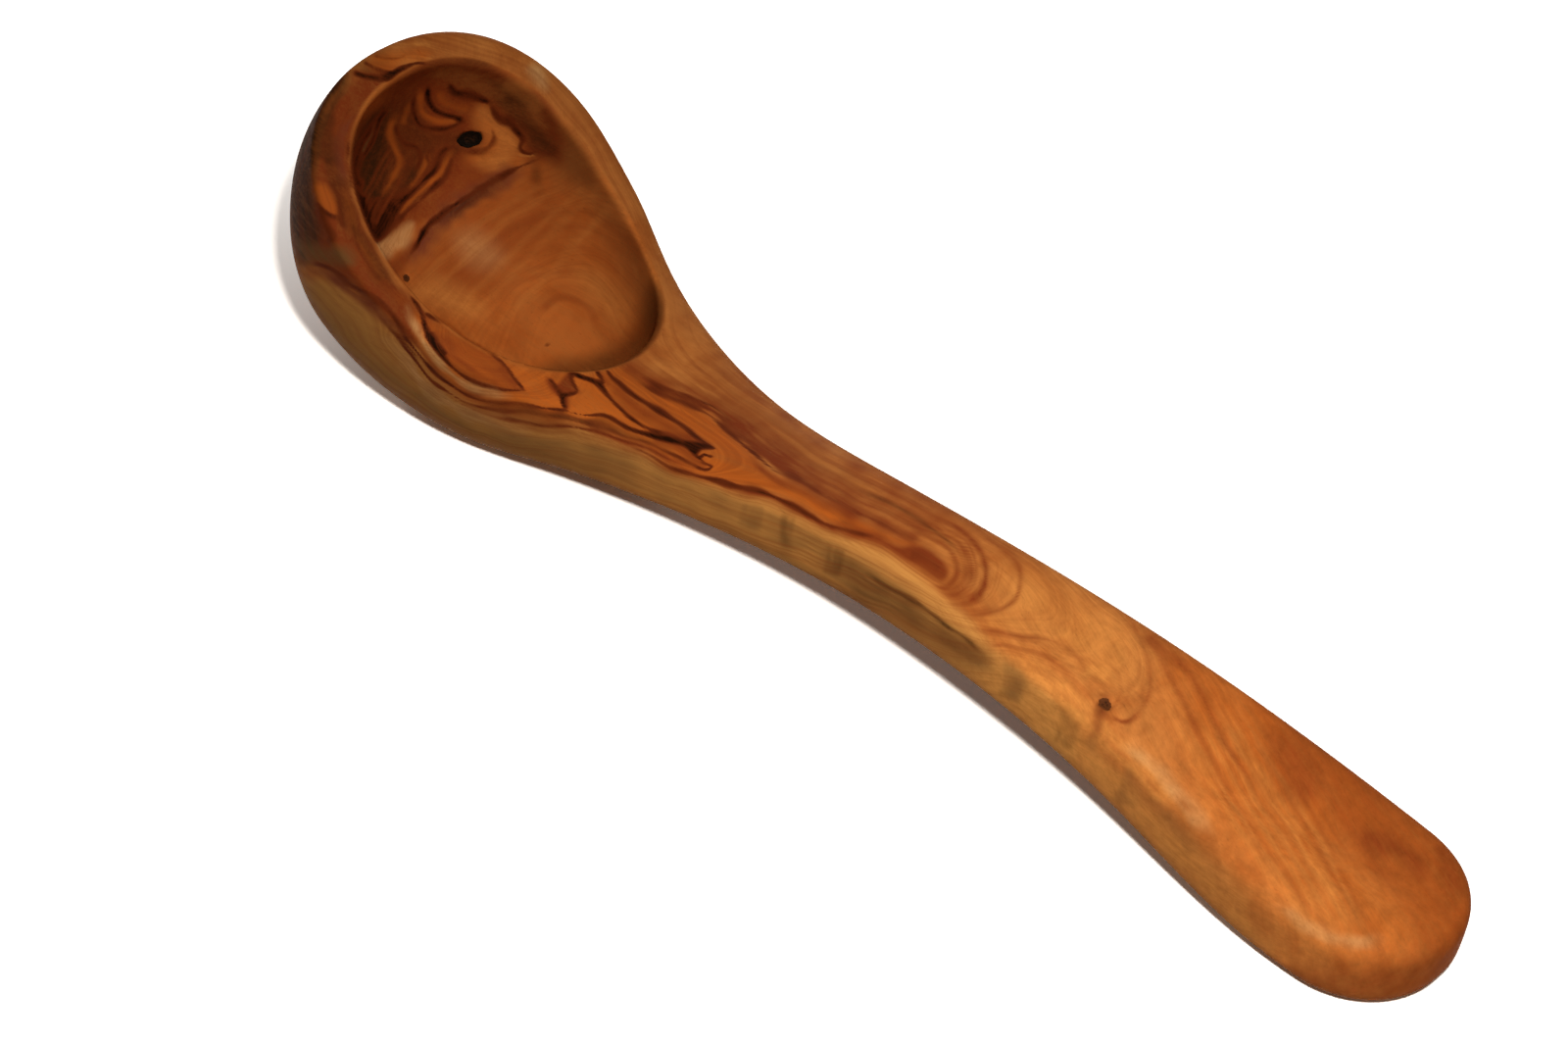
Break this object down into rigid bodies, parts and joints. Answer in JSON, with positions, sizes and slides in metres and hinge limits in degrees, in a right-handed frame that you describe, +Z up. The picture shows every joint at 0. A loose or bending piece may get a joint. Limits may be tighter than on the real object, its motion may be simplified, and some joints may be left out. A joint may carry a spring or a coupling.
{
  "type": "wooden ladle",
  "caption": "One-piece carved olive-wood ladle with an egg-shaped bowl set at an angle to an arched, flat-topped handle that widens to a rounded end.",
  "frame": {"origin": "middle of the ladle's footprint, on the table it lies on", "axes": "+X along the length from the bowl's tip to the handle's end, +Y to the left of that, +Z up from the table"},
  "size_m": [0.2696, 0.0656, 0.0647],
  "materials": {
    "olive_wood": "oiled satin, strongly figured",
    "dead_knot": "oiled satin, nearly black"
  },
  "bodies": {
    "root": {"ladle_body": "olive_wood", "bowl_knot": "dead_knot", "bowl_pin_knot": "dead_knot", "handle_knot": "dead_knot"}
  },
  "joints": []
}
